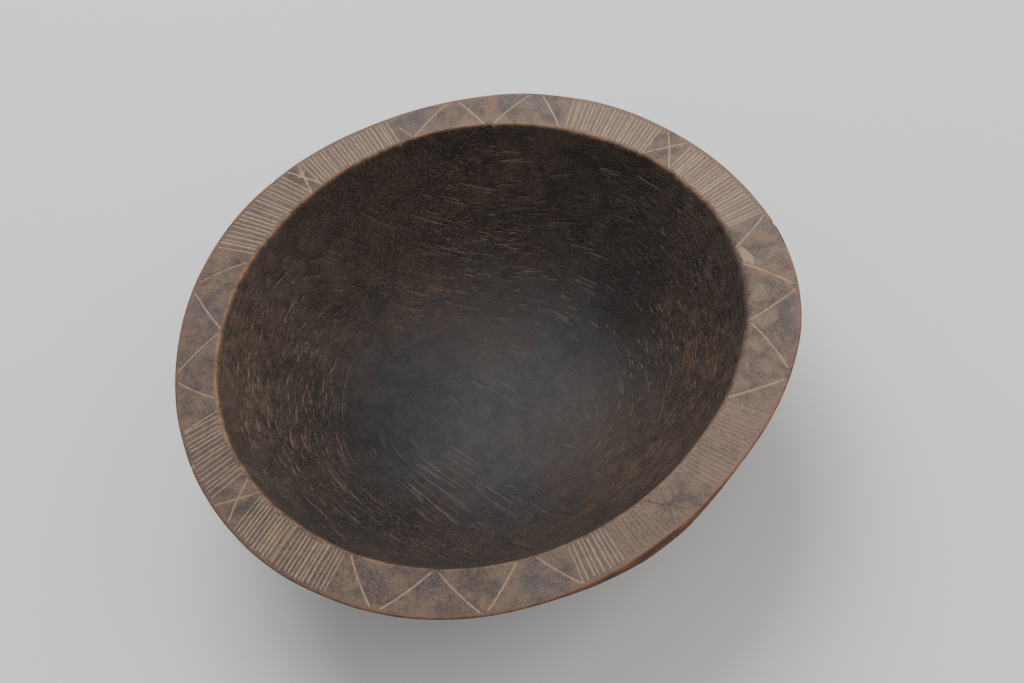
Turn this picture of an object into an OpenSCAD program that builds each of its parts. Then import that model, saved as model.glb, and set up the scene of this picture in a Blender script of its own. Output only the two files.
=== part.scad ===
// Carved wooden bowl: a wide, thick-walled bowl hewn by hand from one block of wood.
// Everything is one piece of wood, so there is one sub-part.
// The origin is at the centre of the flat base, with the open side up.

/* [Overall] */
// Mean diameter across the outside of the rim
rim_d = 430; // [380:5:480]
// Height from the flat base to the top of the rim
height = 125; // [115:1:145]
// Mean width of the flat top of the rim
rim_w = 32; // [26:1:38]
// Diameter of the flat base that the bowl rests on
base_d = 150; // [120:5:180]
// Thickness of the wood under the middle of the hollow
floor_t = 20; // [14:1:28]

/* [Curves] */
// Fullness of the outer wall, where 1 is a plain cone
wall_fullness = 1.4; // [1.3:0.1:2]
// Fullness of the hollow, where 2 is a parabola
hollow_fullness = 3; // [2.4:0.1:3.4]
// Roundness of the rim's two edges
edge_r = 2.5; // [1:0.5:4]

/* [Hand-cut outline] */
// How far the rim bulges at each end of its long way across
rim_oval = 1; // [0:0.1:3]
// How far the rim swells at its three high points
rim_three = 2.6; // [0:0.1:4]
// How far the rim swells at its four high points
rim_four = 1.4; // [0:0.1:3]
// How far the rim swells at its five high points
rim_five = 1.2; // [0:0.1:3]
// How far the mouth swells at its three high points
mouth_three = 1.2; // [0:0.1:3]
// How far the mouth swells at its four high points
mouth_four = 1; // [0:0.1:3]
// How far the rim stands out past the wall under it, away from the swollen side
lip = 3; // [0:0.5:5]
// How far the wall swells just under the rim on one side
swell = 6; // [0:0.5:8]
// Direction of the swollen side
swell_at = -70; // [-180:1:180]

/* [Hidden] */

segments = 80;        // sections around the bowl
wall_steps = 11;      // points up the outer wall
edge_steps = 3;       // points around each rounded edge
hollow_steps = 9;     // points down the hollow

lip_h = 6;            // depth below the rim at which most of the lip is cut back
swell_narrow = 40;    // how narrow the swollen side is, where 1 is half the way around
swell_h = 25;         // depth below the rim at which the wall swells most
hollow_first = 0.1;   // radius of the hollow's innermost ring, as a share of the mouth's

// A gentle wave around the outline: how many crests, how high, and where one of them lies.
function wave(a, crests, size, crest_at) = size * cos(crests * (a - crest_at));

// Radius of the rim's outer edge and of its mouth, in the direction a.
function rim_radius(a) = rim_d / 2 + wave(a, 2, rim_oval, -48)
    + wave(a, 3, rim_three, -2) + wave(a, 4, rim_four, -24) + wave(a, 5, rim_five, -17);
function mouth_radius(a) = rim_d / 2 - rim_w
    + wave(a, 3, mouth_three, -7) + wave(a, 4, mouth_four, -4);

// How much the direction a belongs to the swollen side, from 0 to 1.
function swollen(a) = pow((1 + cos(a - swell_at)) / 2, swell_narrow);

// Radius of the outer wall at the height z. Above the flat base it curves out to the rim.
function wall_radius(a, z) =
    let (down = height - z,
         full = 1 - pow(down / height, wall_fullness),
         under_lip = lip * (1 - swollen(a)) * (1 - exp(-down / lip_h)) * z / height,
         hump = swell * swollen(a) * down / swell_h * exp(1 - down / swell_h))
    base_d / 2 + (rim_radius(a) - base_d / 2) * full - under_lip + hump;

// Height of the hollow's surface at a share of the mouth's radius.
function hollow_z(share) = floor_t + (height - floor_t) * pow(share, hollow_fullness);

// The points of one section, as radius and height, from the base's edge over the rim to the floor.
// The wall's points lie closer together towards the rim, where the wall turns most.
function wall_part(a) = [for (i = [0 : wall_steps - 1])
    let (z = (height - edge_r) * (1 - pow(1 - i / wall_steps, 1.6))) [wall_radius(a, z), z]];
function outer_edge_part(a) = [for (i = [0 : edge_steps - 1])
    let (turn = 90 * i / (edge_steps - 1))
    [wall_radius(a, height - edge_r) - edge_r * (1 - cos(turn)),
     height - edge_r + edge_r * sin(turn)]];
function inner_edge_part(a) =
    let (share = 1 - edge_r / mouth_radius(a), end_z = hollow_z(share))
    [for (i = [0 : edge_steps - 1])
        let (turn = 90 * i / (edge_steps - 1))
        [mouth_radius(a) + edge_r - 2 * edge_r * sin(turn),
         end_z + (height - end_z) * cos(turn)]];
function hollow_part(a) = [for (i = [1 : hollow_steps])
    let (outermost = 1 - edge_r / mouth_radius(a),
         share = outermost + (hollow_first - outermost) * i / hollow_steps)
    [share * mouth_radius(a), hollow_z(share)]];
function section(a) =
    concat(wall_part(a), outer_edge_part(a), inner_edge_part(a), hollow_part(a));

// The bowl's closed surface: the sections side by side, and a fan at the base and at the floor.
module hewn_body() {
    sections = [for (k = [0 : segments - 1]) section(360 * k / segments)];
    rows = len(sections[0]);
    base_middle = segments * rows;
    floor_middle = base_middle + 1;
    points = concat(
        [for (k = [0 : segments - 1], p = sections[k])
            let (a = 360 * k / segments) [p[0] * cos(a), p[0] * sin(a), p[1]]],
        [[0, 0, 0], [0, 0, floor_t]]);
    function at(k, j) = (k % segments) * rows + j;
    sides = [for (k = [0 : segments - 1], j = [0 : rows - 2])
        each [[at(k, j), at(k, j + 1), at(k + 1, j + 1)],
              [at(k, j), at(k + 1, j + 1), at(k + 1, j)]]];
    base = [for (k = [0 : segments - 1]) [at(k, 0), at(k + 1, 0), base_middle]];
    floor = [for (k = [0 : segments - 1]) [at(k, rows - 1), floor_middle, at(k + 1, rows - 1)]];
    polyhedron(points, concat(sides, base, floor));
}

module bowl() {
    color("#5a4a40") hewn_body();
}

bowl();
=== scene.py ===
"""The looks of a carved wooden bowl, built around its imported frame.

The bowl is one block of wood, so it is one closed mesh. Its form repeats the frame's. The knife cuts on
the rim, the tool marks inside, the chips and the adze facets are all cut into that mesh.
Lengths are millimetres until bowl_mesh turns its points into metres, and metres after that.
Directions in the constants and tables are degrees from the X axis. A direction called `a` is in radians.
"""

import math

import bpy
import numpy as np
from mathutils import Matrix, Vector
from mathutils.geometry import delaunay_2d_cdt


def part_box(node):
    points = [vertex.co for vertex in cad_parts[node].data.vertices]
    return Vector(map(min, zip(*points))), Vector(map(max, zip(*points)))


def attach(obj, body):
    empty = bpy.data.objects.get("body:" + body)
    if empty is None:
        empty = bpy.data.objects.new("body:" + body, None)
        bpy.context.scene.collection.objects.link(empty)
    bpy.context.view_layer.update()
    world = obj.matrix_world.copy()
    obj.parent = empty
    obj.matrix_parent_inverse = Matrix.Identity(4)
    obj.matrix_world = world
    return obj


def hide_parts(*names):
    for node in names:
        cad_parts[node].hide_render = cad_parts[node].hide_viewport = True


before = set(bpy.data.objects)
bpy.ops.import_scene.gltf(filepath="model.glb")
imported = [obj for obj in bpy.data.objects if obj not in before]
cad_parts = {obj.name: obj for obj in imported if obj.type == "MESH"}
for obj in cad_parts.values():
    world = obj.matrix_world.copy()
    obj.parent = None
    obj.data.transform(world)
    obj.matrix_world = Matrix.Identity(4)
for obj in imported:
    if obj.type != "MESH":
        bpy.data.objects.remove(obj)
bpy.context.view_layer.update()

MM = 0.001

# ---------------------------------------------------------------- the bowl's form

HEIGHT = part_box("bowl")[1][2] / MM
RIM_R = 215.0          # mean radius of the outer edge
RIM_W = 32.0           # mean width of the flat rim
BASE_R = 75.0
FLOOR_T = 20.0         # wood under the middle of the hollow
WALL_FULLNESS = 1.4    # how full the curve of the outer wall is
HOLLOW_FULLNESS = 3.0  # and that of the hollow
EDGE_R = 1.2           # the rim's outer edge is worn, but crisper than the plain solid's
EDGE_MARGIN = 0.9      # the pattern stays this far from that edge's curve
LIP = 3.0              # how far the wall draws in under the rim
LIP_H = 6.0            # over about this height
SWELL = 6.0            # how far the wall swells out under the rim on one side
SWELL_H = 25.0         # how far down it swells most
SWELL_AT = -70         # the side where it swells
SWELL_NARROW = 40.0    # how narrow that side is

# The waves in the outline, by their number of crests, as in the frame's own form: how high each of them is,
# and the direction of one of its crests.
RIM_OVAL = 1.0
RIM_OVAL_AT = -48
RIM_THREE = 2.6
RIM_THREE_AT = -2
RIM_FOUR = 1.4
RIM_FOUR_AT = -24
RIM_FIVE = 1.2
RIM_FIVE_AT = -17
MOUTH_THREE = 1.2
MOUTH_THREE_AT = -7
MOUTH_FOUR = 1.0
MOUTH_FOUR_AT = -4

MOUTH_BLEND = 1.2      # how softly the rim turns down into the hollow where its edge is crisp
SOFT_BLEND = 5.0       # how much more softly it turns down where its edge is worn round
SOFT_SIDE = -20        # the side where it is worn round
SOFT_NARROW = 14       # how narrow that side is
MOUTH_FACETS = 36      # straight cuts round the mouth's edge
MOUTH_WOBBLE = 0.65    # how far those cuts wander
RIM_FACETS = 50        # slight dips and swells round the outer edge
RIM_WOBBLE = 0.35      # how far they go
RIM_WARP = 0.5         # how far the rim's top is from flat
WARP_SIZE = 38         # size of the dips in it
WARP_SHIFT = 20        # which part of that noise lies over the bowl, in cells
NOISE_ROWS = 64        # rows of values in each kind of noise, after which it repeats
JITTER = 0.38          # how far a facet's middle lies from its cell's middle at most, in cells
FACET_LEVEL = 0.5      # how far out from its middle a facet meets the smooth surface, squared and in cells

GOUGE_DEPTH = 0.5      # depth of the worn gouge facets inside
GOUGE_COLUMNS = 26     # how many there are round the hollow
GOUGE_ROWS = 9         # and from its middle to the mouth
GOUGE_SEED = 11
ADZE_DEPTH = 2.6       # depth of the adze facets outside
ADZE_COLUMNS = 40      # how many there are round the wall
ADZE_ROWS = 7          # and down it
ADZE_SLANT = 60        # they shift round by one column over this height
ADZE_SEED = 12

CENTRE_R = 20          # inside this radius the tool marks have the heading of the hollow's middle
WALL_MARKS_R = 110     # and outside this one they have the heading of the wall
MARKED_SHARE = 0.955   # the tool marks and the even points end at this share of the mouth's radius


class Lattice:
    """Repeatable noise from -1 to 1 on a square lattice that wraps round after `cells` along u."""

    def __init__(self, seed, cells=64):
        self.values = np.random.default_rng(seed).uniform(-1, 1, (cells, NOISE_ROWS))

    def at(self, u, v=0.0, straight=False):
        u, v = np.broadcast_arrays(np.asarray(u, float), np.asarray(v, float))
        iu, iv = np.floor(u).astype(int), np.floor(v).astype(int)
        fu, fv = u - iu, v - iv
        if not straight:
            fu, fv = fu * fu * (3 - 2 * fu), fv * fv * (3 - 2 * fv)
        rows, columns = self.values.shape

        def corner(du, dv):
            return self.values[(iu + du) % rows, (iv + dv) % columns]

        low = corner(0, 0) * (1 - fu) + corner(1, 0) * fu
        high = corner(0, 1) * (1 - fu) + corner(1, 1) * fu
        return low * (1 - fv) + high * fv


def scallops(u, v, columns, seed):
    """Overlapping scooped cuts: 0 in the middle of a cut, rising to a ridge where two cuts meet.

    u counts columns and wraps round after `columns`, and v counts rows. The value is the square of the
    distance to the nearest cut's middle.
    """
    jitter = np.random.default_rng(seed).uniform(-JITTER, JITTER, (columns, NOISE_ROWS, 2))
    iu, iv = np.floor(u).astype(int), np.floor(v).astype(int)
    nearest = np.full(np.shape(u), np.inf)
    for du in (-1, 0, 1):
        for dv in (-1, 0, 1):
            shift = jitter[(iu + du) % columns, (iv + dv) % NOISE_ROWS]
            x = u - (iu + du + 0.5 + shift[..., 0])
            y = v - (iv + dv + 0.5 + shift[..., 1])
            nearest = np.minimum(nearest, x * x + y * y)
    return nearest


def smooth_min(a, b, blend):
    share = np.clip(0.5 + 0.5 * (b - a) / blend, 0, 1)
    return b * (1 - share) + a * share - blend * share * (1 - share)


def smooth_step(x, low, high):
    t = np.clip((x - low) / (high - low), 0, 1)
    return t * t * (3 - 2 * t)


def turn_from(a, direction):
    """The signed angle in degrees from a direction to a, which is in radians."""
    return (np.degrees(a) - direction + 180) % 360 - 180


MOUTH_NOISE = Lattice(3, MOUTH_FACETS)
RIM_NOISE = Lattice(4, RIM_FACETS)
WARP_NOISE = Lattice(5)


def wave(a, crests, size, crest_at):
    """A gentle wave round the outline: how many crests, how high, and where one of them lies."""
    return size * np.cos(crests * (a - math.radians(crest_at)))


def rim_radius(a):
    swell = wave(a, 2, RIM_OVAL, RIM_OVAL_AT) + wave(a, 3, RIM_THREE, RIM_THREE_AT)
    swell += wave(a, 4, RIM_FOUR, RIM_FOUR_AT) + wave(a, 5, RIM_FIVE, RIM_FIVE_AT)
    return RIM_R + swell + RIM_WOBBLE * RIM_NOISE.at(a / math.tau * RIM_FACETS)


def mouth_radius(a):
    swell = wave(a, 3, MOUTH_THREE, MOUTH_THREE_AT) + wave(a, 4, MOUTH_FOUR, MOUTH_FOUR_AT)
    wobble = MOUTH_WOBBLE * MOUTH_NOISE.at(a / math.tau * MOUTH_FACETS, straight=True)
    return RIM_R - RIM_W + swell + wobble


def wall_radius(a, z):
    """Radius of the outer wall, as in the frame's own form."""
    swollen = ((1 + np.cos(a - math.radians(SWELL_AT))) / 2) ** SWELL_NARROW
    down = HEIGHT - z
    full = 1 - (down / HEIGHT) ** WALL_FULLNESS
    under_lip = LIP * (1 - swollen) * (1 - np.exp(-down / LIP_H)) * z / HEIGHT
    hump = SWELL * swollen * down / SWELL_H * np.exp(1 - down / SWELL_H)
    return BASE_R + (rim_radius(a) - BASE_R) * full - under_lip + hump


def towards(a, side):
    """1 in the direction of a side, in degrees, falling to 0 opposite it."""
    return 0.5 + 0.5 * np.cos(a - math.radians(side))


def worn_round(a):
    """1 in the middle of the side where the mouth's edge is worn round, falling to 0 beyond it."""
    return towards(a, SOFT_SIDE) ** SOFT_NARROW


def top_height(x, y):
    """Height of the rim's top and of the hollow, before anything is cut into them."""
    a, r = np.arctan2(y, x), np.hypot(x, y)
    hollow = FLOOR_T + (HEIGHT - FLOOR_T) * (r / mouth_radius(a)) ** HOLLOW_FULLNESS
    rim = HEIGHT + RIM_WARP * (WARP_NOISE.at(x / WARP_SIZE + WARP_SHIFT, y / WARP_SIZE + WARP_SHIFT) - 1)
    return smooth_min(hollow, rim, MOUTH_BLEND + SOFT_BLEND * worn_round(a))


def gouge_marks(x, y):
    """How far the worn gouge facets lie below the hollow's smooth surface."""
    a, r = np.arctan2(y, x), np.hypot(x, y)
    share = r / mouth_radius(a)
    cuts = FACET_LEVEL - scallops(
        a / math.tau * GOUGE_COLUMNS, share * GOUGE_ROWS, GOUGE_COLUMNS, GOUGE_SEED)
    return GOUGE_DEPTH * cuts * smooth_step(share, 0.1, 0.4) * (1 - smooth_step(share, 0.97, 1.0))


# ---------------------------------------------------------------- knife cuts and tool marks

RNG = np.random.default_rng(21)

CUT_WANDER = 0.3               # how far a knife cut's points wander round the rim, in tenths of a degree
CUT_POINTS = (0, 0.05, 0.27, 0.5, 0.73, 0.95, 1)
CUT_RUN_OUT = 0.6              # length over which a knife cut's ends run out
HATCH_HALF_WIDTHS = (0.62, 0.9)
HATCH_DEPTHS = (0.35, 0.5)
STROKE_DEPTH = 0.5


def on_rim(angle, across):
    """A point on the rim's flat top. across is 0 at the mouth and 1 at the outer edge."""
    a = math.radians(angle)
    r = mouth_radius(a) * (1 - across) + (rim_radius(a) - EDGE_R - EDGE_MARGIN) * across
    return np.array([r * math.cos(a), r * math.sin(a)])


def line(points, half_width, depth, pale=1.0, run_out=1.5):
    """One cut: its middle line, half its width, its depth, how pale it is and how long its ends run out."""
    return {"points": np.array(points), "half": half_width, "depth": depth, "pale": pale, "run_out": run_out}


def rim_line(outer, inner, outer_end, inner_end, half_width, depth, pale=1.0):
    """A knife cut along the line from the angle `outer` at the rim's outer edge to `inner` at the mouth.

    Its own ends lie the shares outer_end and inner_end of the way out from the mouth.
    """
    points = []
    for share in CUT_POINTS:
        across = outer_end + (inner_end - outer_end) * share
        angle = inner + (outer - inner) * across + RNG.normal(0, 0.1) * CUT_WANDER
        points.append(on_rim(angle, across))
    return line(points, half_width, depth, pale, CUT_RUN_OUT)


def hatching(outer_from, outer_to, inner_from, inner_to, count, pale):
    """A block of short cuts side by side across the whole rim."""
    cuts = []
    for i in range(count):
        share = i / (count - 1) + RNG.normal(0, 0.12) / count
        cuts.append(rim_line(
            outer_from + (outer_to - outer_from) * share, inner_from + (inner_to - inner_from) * share,
            RNG.uniform(0.95, 1.0), RNG.uniform(-0.01, 0.06), RNG.uniform(*HATCH_HALF_WIDTHS),
            RNG.uniform(*HATCH_DEPTHS), pale * RNG.uniform(0.65, 1.0)))
    return cuts


def strokes(pairs, pale, half_width=0.85):
    """Longer single strokes, each as its outer and its inner angle."""
    return [
        rim_line(outer, inner, RNG.uniform(0.97, 1.0), RNG.uniform(-0.01, 0.04), half_width, STROKE_DEPTH,
                 pale * RNG.uniform(0.75, 1.0))
        for outer, inner in pairs]


# The rim's pattern: four groups, each of a cross between two hatched blocks, with zigzags between them.
# Each row is outer from and to, inner from and to, how many cuts, and how pale they are. The last group's
# first block is two rows, because only its second part is worn dark.
HATCHED = (
    (5, 27, 4.5, 26, 25, 1.0), (35, 55.5, 34, 54.5, 23, 0.95),
    (96, 115.5, 95, 116, 23, 0.95), (120.5, 140.5, 119, 139.5, 20, 1.0),
    (185.5, 201, 184, 200, 15, 0.9), (209.5, 231, 207.5, 231, 26, 1.0),
    (275.5, 283, 275.5, 283, 9, 0.75), (284, 292.5, 284, 292, 10, 0.3),
    (302.5, 319.5, 302, 319.5, 20, 0.3),
)
GRIMY_BELOW = 0.5              # a block less pale than this is worn, with dirt in its cuts
CROSSES = ((28, 34), (33.5, 26), (116, 119), (119, 115.5), (202.5, 206.5), (207.5, 202))
FAINT_CROSS = ((293, 296.5), (297.5, 292))
ZIGZAGS = (
    (62.5, 56), (65, 72.5), (80.5, 74.5), (82.5, 91.5),
    (150, 142), (151.5, 161), (171, 161.5), (173, 179.5), (185, 182.5),
    (240, 232), (241, 249.5), (258.5, 250), (259, 265.5), (275.5, 269),
    (327.5, 320.5), (329, 339.5), (346.5, 339.5), (347, 354.5), (4.5, -1.5),
)


def rim_cuts():
    cuts = []
    for *block, pale in HATCHED:
        cuts += hatching(*block, pale)
    cuts += strokes(CROSSES, 0.9)
    cuts += strokes(FAINT_CROSS, 0.35, 0.5)
    cuts += strokes(ZIGZAGS, 0.9)
    # Slips of the knife and a short drying crack.
    cuts.append(rim_line(95.5, 91.5, 0.55, 0.05, 0.7, 0.6))
    cuts.append(line([on_rim(116.5, 0.74), on_rim(117.5, 0.66), on_rim(119, 0.57)], 0.6, 0.35, 0.8))
    cuts.append(line([on_rim(234.5, 0.82), on_rim(232.5, 0.52)], 0.5, 0.4, 0.6))
    cuts.append(line([on_rim(235, 0.66), on_rim(234.5, 0.5)], 0.4, 0.3, 0.5))
    cuts.append(line([on_rim(254.5, 0.99), on_rim(254, 0.8), on_rim(255, 0.66)], 0.5, 0.8, 0.7))
    cuts.append(line([on_rim(253, 0.3), on_rim(255, 0.12)], 0.35, 0.3, 0.6))
    return cuts


# Sides where the tool marks run straight: direction of the side, its spread, and the marks' heading.
STRAIGHT = ((92, 44, -24), (250, 50, -60))
CENTRE_HEADING = -50           # the heading of the marks in the hollow's middle
MARK_STEP = 9                  # about how far apart the points along a tool mark are
TIP_SHARE = 0.15               # each end of a tool mark runs out over this share of its length


def side_share(a, direction, spread):
    """How much the direction a belongs to a side, from 0 to 1."""
    return np.exp(-((turn_from(a, direction) / spread) ** 4))


def from_centre(r):
    """0 in the middle of the hollow, rising to 1 where its wall begins."""
    return smooth_step(r, CENTRE_R, WALL_MARKS_R)


def flow(x, y):
    """The heading of the tool marks inside, in radians: round the walls, but straight on two sides."""
    a = math.atan2(y, x)
    heading = np.exp(2j * (a + math.pi / 2))
    for direction, spread, straight in STRAIGHT:
        share = side_share(a, direction, spread)
        heading = (1 - share) * heading + share * np.exp(2j * math.radians(straight))
    share = float(from_centre(math.hypot(x, y)))
    heading = share * heading + (1 - share) * np.exp(2j * math.radians(CENTRE_HEADING))
    return float(np.angle(heading)) / 2


def tool_mark(x, y, length, half_width, depth, pale):
    """A thin mark that follows the flow from a starting point."""
    heading = flow(x, y)
    points = [(x, y)]
    middle = 1 + int(length / MARK_STEP)
    tip = TIP_SHARE * length
    steps = [tip, *[(1 - 2 * TIP_SHARE) * length / middle] * middle, tip]
    for step in steps:
        there = flow(*points[-1]) + RNG.normal(0, 0.04)
        if math.cos(there - heading) < 0:
            there += math.pi
        heading = there
        points.append((points[-1][0] + step * math.cos(there), points[-1][1] + step * math.sin(there)))
    return line(points, half_width, depth, pale, run_out=tip)


# Where the tool marks lie: direction, spread, radius from and to, length from and to, how many, how pale.
MARKED = (
    (180, 34, 118, 176, 4, 15, 240, 0.4), (212, 34, 70, 170, 9, 36, 90, 0.28),
    (245, 40, 60, 170, 12, 48, 62, 0.28), (92, 42, 95, 176, 6, 30, 110, 0.34),
    (55, 30, 70, 170, 5, 24, 60, 0.3), (145, 20, 130, 174, 3, 10, 60, 0.35),
    (355, 36, 90, 174, 4, 14, 90, 0.36), (310, 35, 60, 150, 5, 26, 35, 0.28),
    (90, 180, 8, 95, 8, 30, 30, 0.2), (208, 26, 40, 115, 30, 70, 10, 0.36),
)


def tool_marks():
    marks = []
    for direction, spread, near, far, short, long, count, pale in MARKED:
        for _ in range(count):
            a = math.radians(direction + RNG.normal(0, 0.5) * spread)
            r = RNG.uniform(near, far)
            length = short + (long - short) * RNG.uniform(0, 1) ** 2
            shallow = 0.4 + 0.6 * float(smooth_step(r, 60, 130))
            marks.append(tool_mark(
                r * math.cos(a), r * math.sin(a), length, RNG.uniform(0.2, 0.32),
                RNG.uniform(0.1, 0.22) * shallow, pale * RNG.uniform(0.25, 1.0)))

    def inside(point):
        direction = math.atan2(point[1], point[0])
        return math.hypot(*point) < MARKED_SHARE * float(mouth_radius(direction))

    return [mark for mark in marks if all(inside(point) for point in mark["points"])]


# Chips: direction, how far across the rim, radius, depth and how pale the bare wood is.
CHIPS = (
    (1.5, 1.0, 2.6, 1.5, 0.2), (193, 1.0, 2.4, 0.7, 0.6), (140.5, 1.0, 1.6, 0.5, 0.3),
    (122.5, 1.0, 2.2, 1.2, 0.1), (72, 0.0, 2.4, 0.6, 0.2), (133, 0.0, 3.0, 0.8, 0.1),
    (20, 0.0, 2.2, 0.5, 0.2), (150, 0.0, 2.6, 0.6, 0.1), (208, 0.0, 2.6, 0.5, 0.1),
)
# The pale worn chip at the mouth: its direction, how far across the rim it is, half its length along the
# rim and half its width.
BARE_PATCH = (356, 0.16, 10.5, 4.3)
BARE_SLANT = 0.25              # its near end lies further out by this share of its length
BARE_DEPTH = 0.5
BARE_POINTS = 24               # points round its outline
BARE_FLOOR = 0.85              # its flat middle's share of its size


# Patches inside: where the wood is rubbed warm; where it is lighter, partly dust and partly painted light;
# and where it is darker, as painted shade. Each is middle x and y, half width and height, and how strongly.
RUBBED = (
    (146, -55, 18, 48, 0.8), (-45, 98, 34, 30, 0.45), (75, -115, 45, 30, 0.5),
    (-165, 20, 16, 60, 0.4), (128, -95, 18, 30, 0.6),
)
# Lighter patches: partly dust, partly painted light.
DUST_AND_LIGHT = (
    (85, 152, 50, 14, 0.5), (72, -70, 38, 55, 0.45), (90, -132, 35, 30, 0.35),
    (175, 40, 12, 40, 0.3), (-120, 66, 28, 34, 0.45),
)
# Painted shade: the darker patches inside.
PAINTED_SHADE = (
    (-100, -5, 45, 45, 0.6), (-35, -92, 50, 25, 0.3), (112, 36, 30, 40, 0.75),
    (-62, 28, 40, 35, 0.3), (80, 30, 30, 30, 0.25), (-108, -95, 62, 55, 0.8),
    (-65, -155, 45, 22, 0.6), (-152, -38, 24, 42, 0.5),
)
WORN_SIDE = 150                # the side where the mouth's edge is rubbed to warm wood
WORN_PART = 38                 # and a shorter part of it that is rubbed as well
WORN_PART_NARROW = 12          # how narrow that part is
DUST_AND_LIGHT_SIDE = 172               # the side where the hollow is lighter, partly dust and partly painted light
DUST_AND_LIGHT_NARROW = 6               # how narrow that side is
DUST_AND_LIGHT_FROM = 120               # radius at which that lighter tone begins
DUST_AND_LIGHT_TO = 182                 # and at which it is full
PALE_AND_LIT_SIDE = 25               # the side where the rim is palest, partly its own paler wood and partly painted light
MOUTH_TURN = 0.5               # half the width over which the rim's look turns into the hollow's
SOFT_TURN = 3.5                # and how much more it is where the edge is worn round
MOUTH_EDGE_W = 0.9             # half width of the rubbed line at the mouth's edge
RIM_EDGE_W = 1.5               # and of the lighter line at the rim's outer edge, partly wear and partly a painted highlight


def distance_to_line(points, x, y):
    """Each position's distance to a cut's middle line, how far along the cut its nearest point is, and the
    cut's length."""
    best = np.full(x.shape, np.inf)
    along = np.zeros(x.shape)
    gone = 0.0
    for (x0, y0), (x1, y1) in zip(points[:-1], points[1:]):
        length = math.hypot(x1 - x0, y1 - y0)
        t = np.clip(((x - x0) * (x1 - x0) + (y - y0) * (y1 - y0)) / length**2, 0, 1)
        d = np.hypot(x - x0 - t * (x1 - x0), y - y0 - t * (y1 - y0))
        nearer = d < best
        best = np.where(nearer, d, best)
        along = np.where(nearer, gone + t * length, along)
        gone += length
    return best, along, gone


def cut_into(x, y, cuts):
    """How deep the cuts are at each position, how far inside a cut it is, and how pale that cut is."""
    depth, inside, pale = np.zeros(x.shape), np.zeros(x.shape), np.zeros(x.shape)
    for cut in cuts:
        reach = cut["half"] * 1.1
        low, high = cut["points"].min(0) - reach, cut["points"].max(0) + reach
        near = np.flatnonzero((x > low[0]) & (x < high[0]) & (y > low[1]) & (y < high[1]))
        if not len(near):
            continue
        d, along, length = distance_to_line(cut["points"], x[near], y[near])
        near, along, d = near[d < reach], along[d < reach], d[d < reach]
        notch = np.clip(1 - d / cut["half"], 0, 1)
        notch *= np.clip(np.minimum(along, length - along) / cut["run_out"], 0, 1) ** 0.5
        depth[near] = np.maximum(depth[near], cut["depth"] * notch)
        inside[near] = np.maximum(inside[near], notch)
        pale[near] = np.maximum(pale[near], cut["pale"])
    return depth, inside, pale


def bare_outline():
    """The lumpy outline of the pale chip, wider at its near end."""
    direction, across, half_length, half_width = BARE_PATCH
    middle = on_rim(direction, across)
    outward = middle / np.linalg.norm(middle)
    along = np.array([outward[1], -outward[0]])
    outline = []
    for turn in np.arange(0, math.tau, math.tau / BARE_POINTS):
        lump = RNG.uniform(0.93, 1.06)
        forward = half_length * lump * math.cos(turn)
        sideways = half_width * (1 + 0.25 * math.cos(turn)) * lump * math.sin(turn)
        outline.append(middle + along * forward + outward * (sideways + BARE_SLANT * forward))
    return np.array(outline)


def inside_outline(x, y, outline):
    """Whether each position is inside a closed outline."""
    hit = np.zeros(x.shape, bool)
    for (x0, y0), (x1, y1) in zip(outline, np.roll(outline, -1, axis=0)):
        crosses = (y0 > y) != (y1 > y)
        where = x0 + (y - y0) * (x1 - x0) / (y1 - y0 if y1 != y0 else 1e-9)
        hit ^= crosses & (x < where)
    return hit


# ---------------------------------------------------------------- mesh

MASKS = (
    "cut", "pale", "bare", "rim", "hatched", "grimy", "mouth_edge", "rim_edge_wear_and_highlight",
    "around", "far", "rubbed", "painted_shade", "dust_and_light", "pale_and_lit", "down", "outside",
)
COLUMNS = 600                  # points in each row round the outer edge and the wall
WALL_STEP = 3.6                # spacing of the rows on the outer wall
RIM_STEP = 2.4                 # spacing of the plain points on the rim
HOLLOW_STEP = 2.8              # in the hollow
EDGE_STEP = 1.7                # round the mouth's edge
BASE_STEP = 5.0                # and under the base
BASE_RING_STEP = 0.07          # the base's rings are this share of its radius apart
MOUTH_RINGS = (-6.5, -4.8, -3.4, -2.3, -1.4, -0.7, -0.1, 0.5, 1.4, 2.6)
EDGE_TURNS = (0, 25, 50, 72)   # the rows round the rim's outer edge, by how far its curve has turned
CLEAR_OF_CUTS = 0.7            # plain points keep this far from a cut's sides
SLOPE_STEP = 0.4               # half the distance over which the top's slope is measured
SHARP_ANGLE = 40               # an edge that turns by more than this is shaded as sharp


def ring(radius_of, spacing, offset=0.0):
    """Points evenly round a ring whose radius depends on the direction."""
    mean = float(np.mean(radius_of(np.linspace(0, math.tau, 60))))
    count = max(6, round(math.tau * mean / spacing))
    a = (np.arange(count) + offset) / count * math.tau
    r = radius_of(a)
    return np.column_stack([r * np.cos(a), r * np.sin(a)])


def plain_points():
    """Points over the hollow and the rim's top, closer together where the surface turns."""
    rings = []
    share = 0.02
    while share < MARKED_SHARE:
        slope = (HEIGHT - FLOOR_T) * HOLLOW_FULLNESS * share ** (HOLLOW_FULLNESS - 1) / (RIM_R - RIM_W)
        rings.append(ring(lambda a, s=share: s * mouth_radius(a), HOLLOW_STEP, len(rings) % 2 / 2))
        share += HOLLOW_STEP / math.hypot(1, slope) / (RIM_R - RIM_W)
    for offset in MOUTH_RINGS:
        rings.append(ring(lambda a, o=offset: mouth_radius(a) + o, EDGE_STEP, len(rings) % 2 / 2))
    outermost = MOUTH_RINGS[-1]
    steps = round((RIM_W - EDGE_R - outermost) / RIM_STEP)
    for i in range(1, steps):
        def part_way(a, s=i / steps):
            return (mouth_radius(a) + outermost) * (1 - s) + (rim_radius(a) - EDGE_R) * s
        rings.append(ring(part_way, RIM_STEP, i % 2 / 2))
    return np.vstack([[[0.0, 0.0]], *rings])


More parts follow.
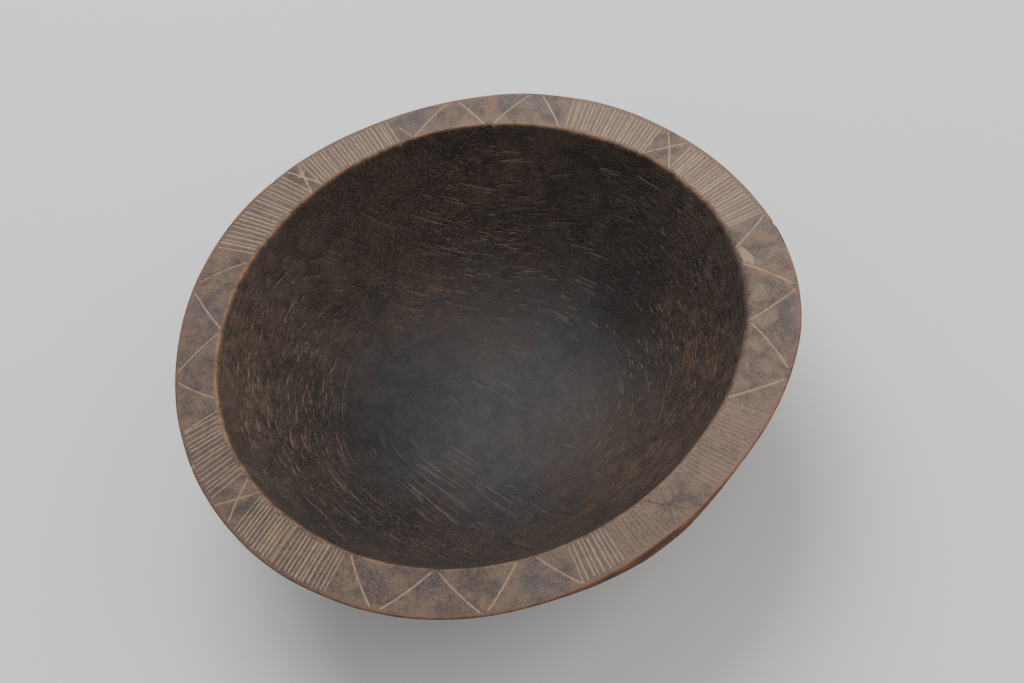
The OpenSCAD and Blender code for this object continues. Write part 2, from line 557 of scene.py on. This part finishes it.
def cut_outlines(cuts):
    """Each cut's middle and side lines as points and edges, so that the mesh has an edge along each."""
    points, edges = [], []
    for cut in cuts:
        middle = cut["points"]
        tangent = np.gradient(middle, axis=0)
        tangent /= np.linalg.norm(tangent, axis=1)[:, None]
        side = np.column_stack([-tangent[:, 1], tangent[:, 0]]) * cut["half"]
        last = len(middle) - 1
        for row in (middle, (middle + side)[1:-1], (middle - side)[1:-1]):
            start = len(points)
            points += [tuple(p) for p in row]
            edges += [(start + i, start + i + 1) for i in range(len(row) - 1)]
            if row is middle:
                tips = (start, start + last)
            elif len(row):
                edges += [(tips[0], start), (start + len(row) - 1, tips[1])]
    return points, edges


def far_from_cuts(points, cuts):
    """Whether each plain point is clear of every cut, so that no sliver forms beside one."""
    x, y = points[:, 0], points[:, 1]
    clear = np.ones(len(points), bool)
    for cut in cuts:
        reach = cut["half"] + CLEAR_OF_CUTS
        low, high = cut["points"].min(0) - reach, cut["points"].max(0) + reach
        near = np.flatnonzero((x > low[0]) & (x < high[0]) & (y > low[1]) & (y < high[1]))
        if len(near):
            d, _, _ = distance_to_line(cut["points"], x[near], y[near])
            clear[near[d < reach]] = False
    return clear


def filled(boundary, points, edges=()):
    """Triangles over the inside of a boundary loop. The boundary's points come first in what it returns."""
    n = len(boundary)
    loop = [(i, (i + 1) % n) for i in range(n)]
    shifted = [(a + n, b + n) for a, b in edges]
    flat = [Vector(p) for p in boundary] + [Vector(p) for p in points]
    verts, _, faces, sources, _, _ = delaunay_2d_cdt(flat, loop + shifted, [], 1, 1e-4, True)
    place = np.array([tuple(v) for v in verts])
    order = np.empty(len(place), int)
    first = {min(s): i for i, s in enumerate(sources) if s and min(s) < n}
    front = [first[i] for i in range(n)]
    rest = sorted(set(range(len(place))) - set(front))
    order[front + rest] = np.arange(len(place))
    return place[front + rest], order[np.array([tuple(f) for f in faces])]


def patches(x, y, table):
    """How strongly each position belongs to the soft patches in a table."""
    mask = np.zeros(x.shape)
    for cx, cy, wide, high, amount in table:
        mask = np.maximum(mask, amount * np.exp(-(((x - cx) / wide) ** 2) - ((y - cy) / high) ** 2))
    return mask


def hatched_mask(a, grimy):
    """1 inside either the grimy or the other hatched blocks, softly falling to 0 beyond their ends."""
    mask = np.zeros(np.shape(a))
    for start, end, _, _, _, pale in HATCHED:
        if grimy != (pale < GRIMY_BELOW):
            continue
        middle, half = (start + end) / 2, (end - start) / 2
        off = np.abs(turn_from(a, middle)) - half
        mask = np.maximum(mask, 1 - smooth_step(off, -0.5, 1.5))
    return mask


def masks_of_top(x, y, z, inside_cut, pale, bare):
    """Where each part of the hollow's and the rim's look belongs, from 0 to 1 at each position."""
    a, r = np.arctan2(y, x), np.hypot(x, y)
    mouth, rim = mouth_radius(a), rim_radius(a)
    worn = np.maximum(towards(a, WORN_SIDE), towards(a, WORN_PART) ** WORN_PART_NARROW)
    turn = MOUTH_TURN + SOFT_TURN * worn_round(a)
    top = smooth_step(r - mouth, -2, 3)
    # The lighter side inside is partly dust and partly painted light.
    dust_and_light = towards(a, DUST_AND_LIGHT_SIDE) ** DUST_AND_LIGHT_NARROW * smooth_step(r, DUST_AND_LIGHT_FROM, DUST_AND_LIGHT_TO)
    return {
        "cut": inside_cut,
        "pale": pale,
        "bare": bare,
        "rim": smooth_step(r - mouth, -turn, turn),
        "hatched": hatched_mask(a, grimy=False) * top,
        "grimy": hatched_mask(a, grimy=True) * top,
        "mouth_edge": np.exp(-(((r - mouth) / MOUTH_EDGE_W) ** 2)) * (0.1 + 0.9 * worn),
        "rim_edge_wear_and_highlight": np.exp(-(((r - rim + EDGE_R) / RIM_EDGE_W) ** 2)),
        "around": from_centre(r) * (1 - sum(side_share(a, *side[:2]) for side in STRAIGHT)),
        "far": side_share(a, *STRAIGHT[0][:2]) * from_centre(r),
        "rubbed": patches(x, y, RUBBED),
        # where shade is painted inside
        "painted_shade": patches(x, y, PAINTED_SHADE),
        "dust_and_light": np.maximum(dust_and_light, patches(x, y, DUST_AND_LIGHT)),
        # one side of the rim paler, partly its own wood and partly painted light
        "pale_and_lit": towards(a, PALE_AND_LIT_SIDE),
        "down": np.clip(1 - z / HEIGHT, 0, 1),
        "outside": np.zeros(len(x)),
    }


def top_patch(boundary):
    """The hollow and the rim's top as points, triangles and masks."""
    cuts = rim_cuts() + tool_marks()
    outline = bare_outline()
    points, edges = cut_outlines(cuts)
    start = len(points)
    inner = outline.mean(0) + (outline - outline.mean(0)) * BARE_FLOOR
    for row in (outline, inner):
        points += [tuple(p) for p in row]
        edges += [(start + i, start + (i + 1) % len(row)) for i in range(len(row))]
        start += len(row)
    plain = plain_points()
    plain = plain[far_from_cuts(plain, cuts)]
    plan, triangles = filled(boundary, points + [tuple(p) for p in plain], edges)
    x, y = plan[:, 0], plan[:, 1]
    z = top_height(x, y)
    h = SLOPE_STEP
    normal = np.column_stack([
        (top_height(x - h, y) - top_height(x + h, y)) / (2 * h),
        (top_height(x, y - h) - top_height(x, y + h)) / (2 * h), np.ones(len(x))])
    normal /= np.linalg.norm(normal, axis=1)[:, None]
    cut_depth, inside_cut, pale = cut_into(x, y, cuts)
    bare = inside_outline(x, y, inner).astype(float)
    cut_depth[bare > 0] = 0
    inside_cut *= 1 - bare
    depth = cut_depth + gouge_marks(x, y) + BARE_DEPTH * bare
    for direction, across, radius, deep, paleness in CHIPS:
        cx, cy = on_rim(direction, across)
        bite = np.clip(1 - ((x - cx) ** 2 + (y - cy) ** 2) / radius**2, 0, 1)
        depth += deep * bite
        bare = np.maximum(bare, paleness * np.clip(bite * 2, 0, 1))
    depth[: len(boundary)] = 0
    place = np.column_stack([x, y, z]) - normal * depth[:, None]
    return place, triangles, masks_of_top(x, y, z, inside_cut, pale, bare)


def wall_rows():
    """Heights of the rows down the outer wall, evenly spaced along its curve."""
    z = np.linspace(HEIGHT - EDGE_R, 0, 400)
    r = wall_radius(np.array([0.0]), z)
    gone = np.concatenate([[0], np.cumsum(np.hypot(np.diff(r), np.diff(z)))])
    return np.interp(np.linspace(0, gone[-1], round(gone[-1] / WALL_STEP) + 1), gone, z)


def outer_wall():
    """The rounded outer edge and the wall down to the base, as rows of points, and their masks."""
    a = np.arange(COLUMNS) / COLUMNS * math.tau
    radius = wall_radius(a, HEIGHT - EDGE_R)
    top = top_height((radius - EDGE_R) * np.cos(a), (radius - EDGE_R) * np.sin(a))
    rows = []
    for turn in np.radians(EDGE_TURNS):
        r = radius - EDGE_R * (1 - math.sin(turn))
        z = top - EDGE_R * (1 - math.cos(turn))
        rows.append((r, z))
    for z in wall_rows():
        r = wall_radius(a, z)
        share = 1 - z / HEIGHT
        column = a / math.tau * ADZE_COLUMNS + z / ADZE_SLANT
        row = np.full(a.shape, share * ADZE_ROWS)
        cuts = FACET_LEVEL - scallops(column, row, ADZE_COLUMNS, ADZE_SEED)
        fade = smooth_step(share, 0.04, 0.14) * (1 - smooth_step(share, 0.93, 1.0))
        rows.append((r - ADZE_DEPTH * cuts * fade, np.full(a.shape, z)))
    place = np.array([np.column_stack([r * np.cos(a), r * np.sin(a), z]) for r, z in rows])
    for direction, across, radius_of_chip, deep, _ in CHIPS:
        if across < 1:
            continue
        cx, cy = on_rim(direction, across)
        d2 = (place[..., 0] - cx) ** 2 + (place[..., 1] - cy) ** 2 + (place[..., 2] - HEIGHT) ** 2 / 4
        bite = np.clip(1 - d2 / radius_of_chip**2, 0, 1)
        place[1:, :, :2] *= (1 - deep * bite[1:] / RIM_R)[..., None]
    n = len(rows)
    last_turn = len(EDGE_TURNS) - 1
    edge = np.exp(-((np.maximum(0, np.arange(n) - last_turn) / 1.5) ** 2))[:, None] * np.ones(COLUMNS)
    outside = np.clip(np.arange(n) / last_turn, 0, 1)[:, None] * np.ones(COLUMNS)
    masks = {name: np.zeros((n, COLUMNS)) for name in MASKS}
    masks["rim"] = 1 - outside
    # the lighter outer edge, partly wear and partly a painted highlight
    masks["rim_edge_wear_and_highlight"] = edge
    masks["outside"] = outside
    # the same paler side, partly its own wood and partly painted light
    masks["pale_and_lit"] = towards(a, PALE_AND_LIT_SIDE) * np.ones((n, 1))
    masks["down"] = np.clip(1 - place[..., 2] / HEIGHT, 0, 1)
    return place, masks


def bowl_mesh():
    """The whole closed mesh: the top, the outer wall under it and the flat base."""
    wall, wall_masks = outer_wall()
    rows = len(wall)
    top, top_faces, top_masks = top_patch([tuple(p) for p in wall[0, :, :2]])
    top[:COLUMNS] = wall[0]
    hidden = len(top)
    lower = wall[1:].reshape(-1, 3)

    def at(row, column):
        column %= COLUMNS
        return column if row == 0 else hidden + (row - 1) * COLUMNS + column

    sides = []
    for row in range(rows - 1):
        for c in range(COLUMNS):
            sides.append((at(row, c), at(row + 1, c), at(row + 1, c + 1), at(row, c + 1)))
    base_loop = wall[-1, :, :2]
    shares = np.arange(BASE_RING_STEP, 0.95, BASE_RING_STEP)
    rings = [ring(lambda a, s=s: s * BASE_R + 0 * a, BASE_STEP) for s in shares]
    base, base_faces = filled([tuple(p) for p in base_loop], [(0.0, 0.0), *map(tuple, np.vstack(rings))])
    last_row = hidden + (rows - 2) * COLUMNS
    base_start = hidden + len(lower)
    number = np.concatenate([last_row + np.arange(COLUMNS), base_start + np.arange(len(base) - COLUMNS)])
    under = np.column_stack([base[COLUMNS:], np.zeros(len(base) - COLUMNS)])
    points = np.vstack([top, lower, under]) * MM
    faces = [tuple(f) for f in top_faces] + sides + [tuple(number[f][::-1]) for f in base_faces]
    masks = {}
    for name in MASKS:
        fill = 1.0 if name in ("outside", "down") else 0.0
        masks[name] = np.concatenate([
            top_masks[name], wall_masks[name][1:].ravel(), np.full(len(under), fill)])
    return points, faces, masks


def make_bowl():
    points, faces, masks = bowl_mesh()
    mesh = bpy.data.meshes.new("carved_bowl")
    mesh.from_pydata(points.tolist(), [], [[int(i) for i in f] for f in faces])
    for name, values in masks.items():
        layer = mesh.attributes.new(name, "FLOAT", "POINT")
        layer.data.foreach_set("value", values.astype(np.float32))
    mesh.update()
    mesh.shade_smooth()
    mesh.set_sharp_from_angle(angle=math.radians(SHARP_ANGLE))
    piece = bpy.data.objects.new("carved_bowl", mesh)
    bpy.context.scene.collection.objects.link(piece)
    return piece


# ---------------------------------------------------------------- material

GRAIN_TURN = 60                # turns the wood's grain onto the X axis
STREAK_STRETCH = (1, 14, 14)   # the straight streaks are this much longer than wide
PORE_STRETCH = (1, 6, 6)       # and the pores


class Graph:
    """Short names for adding and joining a material's nodes."""

    def __init__(self, name):
        self.material = bpy.data.materials.new(name)
        self.material.use_nodes = True
        self.nodes = self.material.node_tree.nodes
        self.links = self.material.node_tree.links
        self.shader = self.nodes["Principled BSDF"]

    def put(self, value, socket):
        if isinstance(value, bpy.types.NodeSocket):
            self.links.new(value, socket)
        else:
            socket.default_value = value

    def mask(self, name):
        node = self.nodes.new("ShaderNodeAttribute")
        node.attribute_name = name
        return node.outputs["Fac"]

    def math(self, operation, a, b=0.0, clamp=False):
        node = self.nodes.new("ShaderNodeMath")
        node.operation = operation
        node.use_clamp = clamp
        self.put(a, node.inputs[0])
        self.put(b, node.inputs[1])
        return node.outputs[0]

    def ramp(self, value, low, high, to_low=0.0, to_high=1.0):
        node = self.nodes.new("ShaderNodeMapRange")
        node.interpolation_type = "SMOOTHSTEP"
        for key, number in (("From Min", low), ("From Max", high), ("To Min", to_low), ("To Max", to_high)):
            node.inputs[key].default_value = number
        self.put(value, node.inputs["Value"])
        return node.outputs["Result"]

    def blend(self, share, a, b):
        """The number a where share is 0, and b where it is 1."""
        node = self.nodes.new("ShaderNodeMix")
        self.put(share, node.inputs[0])
        self.put(a, node.inputs[2])
        self.put(b, node.inputs[3])
        return node.outputs[0]

    def mix(self, share, a, b):
        node = self.nodes.new("ShaderNodeMix")
        node.data_type = "RGBA"
        self.put(share, node.inputs[0])
        self.put(a, node.inputs[6])
        self.put(b, node.inputs[7])
        return node.outputs[2]

    def scale(self, colour, factor):
        node = self.nodes.new("ShaderNodeVectorMath")
        node.operation = "SCALE"
        self.put(colour, node.inputs["Vector"])
        self.put(factor, node.inputs["Scale"])
        return node.outputs["Vector"]

    def place(self):
        return self.nodes.new("ShaderNodeTexCoord").outputs["Object"]

    def along_grain(self, turn, stretch):
        """Places turned about Z and then stretched, so that features run along one direction."""
        turned = self.nodes.new("ShaderNodeMapping")
        turned.inputs["Rotation"].default_value = (0, 0, math.radians(turn))
        self.links.new(self.place(), turned.inputs["Vector"])
        node = self.nodes.new("ShaderNodeVectorMath")
        node.operation = "MULTIPLY"
        self.links.new(turned.outputs["Vector"], node.inputs[0])
        node.inputs[1].default_value = stretch
        return node.outputs["Vector"]

    def round_bowl(self, long, narrow):
        """Places for features that run round the bowl: `long` of them per radian, `narrow` per metre down."""
        parts = self.nodes.new("ShaderNodeSeparateXYZ")
        self.links.new(self.place(), parts.inputs[0])
        flat = self.nodes.new("ShaderNodeCombineXYZ")
        self.links.new(parts.outputs["X"], flat.inputs["X"])
        self.links.new(parts.outputs["Y"], flat.inputs["Y"])
        length = self.nodes.new("ShaderNodeVectorMath")
        length.operation = "LENGTH"
        self.links.new(flat.outputs[0], length.inputs[0])
        unit = self.nodes.new("ShaderNodeVectorMath")
        unit.operation = "NORMALIZE"
        self.links.new(flat.outputs[0], unit.inputs[0])
        turned = self.nodes.new("ShaderNodeSeparateXYZ")
        self.links.new(self.scale(unit.outputs["Vector"], long), turned.inputs[0])
        down = self.math("ADD", length.outputs["Value"], parts.outputs["Z"])
        joined = self.nodes.new("ShaderNodeCombineXYZ")
        self.links.new(turned.outputs["X"], joined.inputs["X"])
        self.links.new(turned.outputs["Y"], joined.inputs["Y"])
        self.links.new(self.math("MULTIPLY", down, narrow), joined.inputs["Z"])
        return joined.outputs[0]

    def noise(self, where, scale, detail=4.0, rough=0.55, warp=0.0):
        node = self.nodes.new("ShaderNodeTexNoise")
        for key, number in (("Scale", scale), ("Detail", detail), ("Roughness", rough), ("Distortion", warp)):
            node.inputs[key].default_value = number
        self.links.new(where, node.inputs["Vector"])
        return node.outputs["Fac"]

    def bump(self, height, distance, strength=1.0, normal=None):
        node = self.nodes.new("ShaderNodeBump")
        node.inputs["Distance"].default_value = distance
        node.inputs["Strength"].default_value = strength
        self.links.new(height, node.inputs["Height"])
        if normal is not None:
            self.links.new(normal, node.inputs["Normal"])
        return node.outputs["Normal"]


def rgb(red, green, blue):
    """A colour given as 0 to 255 in sRGB, as the shader's linear values."""
    def linear(c):
        c /= 255
        return c / 12.92 if c <= 0.04045 else ((c + 0.055) / 1.055) ** 2.4
    return (linear(red), linear(green), linear(blue), 1.0)


def streaks(g, long, narrow, grain_scale):
    """Fine streaks that follow the tool marks: round the walls, but straight on two sides."""
    round_wall = g.noise(g.round_bowl(long, narrow), 1.0, 3, 0.6)
    far = g.noise(g.along_grain(-STRAIGHT[0][2], STREAK_STRETCH), grain_scale, 3, 0.6)
    near = g.noise(g.along_grain(-STRAIGHT[1][2], STREAK_STRETCH), grain_scale, 3, 0.6)
    return g.blend(g.mask("around"), g.blend(g.mask("far"), near, far), round_wall)


def hollow_colour(g, mottle, broad, fine):
    """Near black, lighter and browner on one side, partly dust and partly painted light, with a painted grey
    sheen on the floor and fine dry streaks.
    """
    blotch = g.ramp(mottle, 0.35, 0.68)
    dark = g.mix(blotch, rgb(40, 34, 30), rgb(62, 52, 45))
    # The floor of the hollow is painted greyer: a painted sheen, the sky's painted reflection.
    floor = g.mix(blotch, rgb(48, 47, 49), rgb(62, 58, 57))
    colour = g.mix(g.ramp(g.mask("down"), 0.45, 0.8), dark, floor)
    # Painted lighter and browner here: partly dust, partly painted light.
    dust_and_light = g.mix(blotch, rgb(72, 59, 52), rgb(98, 82, 71))
    colour = g.mix(g.mask("dust_and_light"), colour, dust_and_light)
    colour = g.mix(g.ramp(broad, 0.45, 0.65, 0.0, 0.45), colour, rgb(62, 48, 39))
    flecks = g.math("ADD", g.math("MULTIPLY", mottle, 0.5), g.noise(g.round_bowl(34, 640), 1.0, 3, 0.6))
    rubbed = g.math("MULTIPLY", g.mask("rubbed"), g.ramp(flecks, 0.74, 0.84))
    colour = g.mix(g.math("MULTIPLY", rubbed, 0.75), colour, rgb(112, 82, 60))
    thin = streaks(g, 16, 1300, 95)
    calm = g.ramp(g.mask("down"), 0.45, 0.8, 1.0, 0.35)
    colour = g.mix(g.math("MULTIPLY", g.ramp(thin, 0.47, 0.34, 0.0, 0.65), calm), colour, rgb(20, 17, 16))
    dry = g.math("MULTIPLY", g.ramp(thin, 0.53, 0.66), g.ramp(fine, 0.4, 0.6, 0.2, 0.7))
    colour = g.mix(g.math("MULTIPLY", dry, calm), colour, rgb(124, 102, 86))
    # Painted shade: darker, near black patches.
    painted_shade = g.math("MULTIPLY", g.mask("painted_shade"), g.ramp(mottle, 0.35, 0.6, 1.0, 0.7))
    colour = g.mix(painted_shade, colour, rgb(32, 32, 34))
    colour = g.mix(g.math("MULTIPLY", g.ramp(fine, 0.46, 0.3, 0.0, 0.6), calm), colour, rgb(22, 19, 18))
    return g.mix(g.math("MULTIPLY", g.ramp(fine, 0.52, 0.7, 0.0, 0.5), calm), colour, rgb(112, 98, 88))


def rim_colour(g, mottle, broad, fine):
    """Grey-brown with a bluish bloom, lighter and drier where it is hatched."""
    colour = g.mix(g.ramp(mottle, 0.35, 0.65), rgb(86, 77, 73), rgb(125, 104, 90))
    colour = g.mix(g.ramp(broad, 0.5, 0.65, 0.0, 0.5), colour, rgb(92, 89, 92))
    pale_and_lit = g.mask("pale_and_lit")
    # The hatched rim between cuts is lighter on one side, partly its own wood and partly painted light.
    between = g.mix(pale_and_lit, rgb(92, 82, 77), rgb(124, 104, 90))
    between = g.mix(g.ramp(mottle, 0.35, 0.7, 0.0, 0.8), between, rgb(122, 105, 94))
    colour = g.mix(g.math("MULTIPLY", g.mask("hatched"), 0.85), colour, between)
    colour = g.mix(g.math("MULTIPLY", g.mask("grimy"), 0.7), colour, rgb(130, 108, 94))
    # Painted light: one side of the rim scaled lighter and the other darker, besides its own paler wood
    # there.
    colour = g.scale(colour, g.ramp(pale_and_lit, 0.0, 1.0, 0.87, 1.2))
    warm = g.noise(g.place(), 42, 5, 0.6, 0.3)
    colour = g.mix(g.ramp(warm, 0.56, 0.7, 0.0, 0.45), colour, rgb(146, 110, 84))
    colour = g.mix(g.ramp(fine, 0.47, 0.3, 0.0, 0.5), colour, rgb(58, 49, 45))
    return g.mix(g.ramp(fine, 0.5, 0.72, 0.0, 0.45), colour, rgb(154, 131, 114))


def wood_material():
    g = Graph("dark_wood")
    plain = g.place()
    broad = g.noise(plain, 16, 5)
    mottle = g.noise(plain, 70, 8, 0.66, 0.4)
    fine = g.noise(plain, 900, 3, 0.6)
    pores = g.noise(g.along_grain(GRAIN_TURN, PORE_STRETCH), 260, 4, 0.6)
    rim, outside = g.mask("rim"), g.mask("outside")

    wall_streaks = g.ramp(g.noise(g.round_bowl(9, 420), 1.0, 4, 0.6), 0.35, 0.65)
    wall = g.mix(wall_streaks, rgb(66, 40, 28), rgb(112, 72, 48))
    wall = g.mix(g.ramp(broad, 0.42, 0.62, 0.1, 0.8), wall, rgb(56, 42, 35))
    colour = g.mix(rim, hollow_colour(g, mottle, broad, fine), rim_colour(g, mottle, broad, fine))
    colour = g.mix(outside, colour, wall)

    edge = g.math("MULTIPLY", g.mask("mouth_edge"), g.ramp(mottle, 0.38, 0.6, 0.3, 1.0))
    colour = g.mix(edge, colour, rgb(160, 116, 84))
    # The rim's outer edge is painted lighter: partly wear, partly a painted highlight along the edge.
    edge = g.math("MULTIPLY", g.mask("rim_edge_wear_and_highlight"), g.ramp(mottle, 0.4, 0.65, 0.3, 0.9))
    colour = g.mix(edge, colour, g.mix(g.mask("pale_and_lit"), rgb(118, 84, 62), rgb(150, 112, 86)))

    # Pores darken every zone a little.
    colour = g.mix(g.ramp(pores, 0.5, 0.72, 0.0, 0.4), colour, rgb(32, 26, 24))
    cut_share = g.math("MULTIPLY", g.ramp(g.mask("cut"), 0.05, 0.5), g.mask("pale"))
    cut_share = g.math("MULTIPLY", cut_share, g.ramp(g.noise(plain, 300, 4, 0.7), 0.35, 0.6, 0.55, 1.0))
    # The cuts' pale colour is lighter on that same side, partly painted light.
    colour = g.mix(cut_share, colour, g.mix(g.mask("pale_and_lit"), rgb(174, 145, 119), rgb(192, 162, 133)))
    dirt = g.math("MULTIPLY", g.ramp(g.mask("cut"), 0.1, 0.7, 0.0, 0.45), g.mask("grimy"))
    colour = g.mix(g.math("MULTIPLY", dirt, g.ramp(mottle, 0.35, 0.6, 1.0, 0.4)), colour, rgb(56, 46, 41))
    colour = g.mix(g.mask("bare"), colour, g.mix(mottle, rgb(140, 118, 96), rgb(172, 146, 120)))

    g.put(colour, g.shader.inputs["Base Color"])
    rough = g.ramp(g.mask("down"), 0.55, 0.82, 0.68, 0.5)
    rough = g.math("ADD", rough, g.math("MULTIPLY", g.mask("painted_shade"), 0.35))
    rough = g.math("ADD", rough, g.ramp(fine, 0.3, 0.7, 0.0, 0.15))
    rough = g.math("ADD", rough, g.math("MULTIPLY", rim, 0.1), clamp=True)
    g.put(rough, g.shader.inputs["Roughness"])
    g.shader.inputs["Specular IOR Level"].default_value = 0.25

    normal = g.bump(mottle, 0.0008, 0.5)
    normal = g.bump(pores, 0.0003, 0.6, normal)
    normal = g.bump(fine, 0.0002, 0.7, normal)
    g.put(normal, g.shader.inputs["Normal"])
    return g.material


def floor_material():
    g = Graph("pale_floor")
    g.shader.inputs["Base Color"].default_value = (0.86, 0.85, 0.83, 1)
    g.shader.inputs["Roughness"].default_value = 0.8
    return g.material


# ---------------------------------------------------------------- stage, light and camera

CAMERA_DISTANCE = 0.968     # from the middle of the rim
CAMERA_ELEVATION = 53.8     # above the rim's plane
CAMERA_ROLL = 17.0          # the picture is turned this far
CAMERA_ASIDE = 0.0264       # how far the camera stands to the right of the rim's middle
CAMERA_BELOW = 0.0137       # and below it, across the view
CAMERA_LENS = 50
CAMERA_SENSOR = 36
FLOOR_SIZE = 12.0
LIGHTS_AIM = 0.08           # height of the point that the lights face


def add_floor():
    half = FLOOR_SIZE / 2
    mesh = bpy.data.meshes.new("floor")
    corners = [(-half, -half, 0), (half, -half, 0), (half, half, 0), (-half, half, 0)]
    mesh.from_pydata(corners, [], [(0, 1, 2, 3)])
    mesh.materials.append(floor_material())
    floor = bpy.data.objects.new("floor", mesh)
    bpy.context.scene.collection.objects.link(floor)


def add_light(name, place, size, power, colour):
    data = bpy.data.lights.new(name, "AREA")
    data.shape = "DISK"
    data.size = size
    data.energy = power
    data.color = colour
    light = bpy.data.objects.new(name, data)
    light.location = place
    light.rotation_mode = "QUATERNION"
    light.rotation_quaternion = (Vector((0, 0, LIGHTS_AIM)) - Vector(place)).to_track_quat("-Z", "Y")
    bpy.context.scene.collection.objects.link(light)


def add_lights():
    add_light("sky", (-0.1, 1.6, 2.2), 2.2, 60, (0.94, 0.97, 1.0))
    add_light("fill", (1.9, -0.5, 1.7), 1.6, 18, (1.0, 0.97, 0.93))
    world = bpy.data.worlds.new("soft_room")
    world.use_nodes = True
    world.node_tree.nodes["Background"].inputs["Color"].default_value = (0.93, 0.95, 1.0, 1)
    world.node_tree.nodes["Background"].inputs["Strength"].default_value = 0.55
    bpy.context.scene.world = world


def add_camera():
    elevation, roll = math.radians(CAMERA_ELEVATION), math.radians(CAMERA_ROLL)
    back = Vector((0, -math.cos(elevation), math.sin(elevation)))
    level, upright = Vector((1, 0, 0)), back.cross(Vector((1, 0, 0)))
    right = level * math.cos(roll) - upright * math.sin(roll)
    up = level * math.sin(roll) + upright * math.cos(roll)
    middle = Vector((0, 0, HEIGHT * MM))
    place = middle + back * CAMERA_DISTANCE + right * CAMERA_ASIDE - up * CAMERA_BELOW
    data = bpy.data.cameras.new("camera")
    data.lens = CAMERA_LENS
    data.sensor_width = CAMERA_SENSOR
    camera = bpy.data.objects.new("camera", data)
    camera.matrix_world = Matrix.Translation(place) @ Matrix((right, up, back)).transposed().to_4x4()
    bpy.context.scene.collection.objects.link(camera)
    bpy.context.scene.camera = camera


add_camera()
add_floor()
add_lights()
bowl = make_bowl()
bowl.data.materials.append(wood_material())
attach(bowl, "root")
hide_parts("bowl")
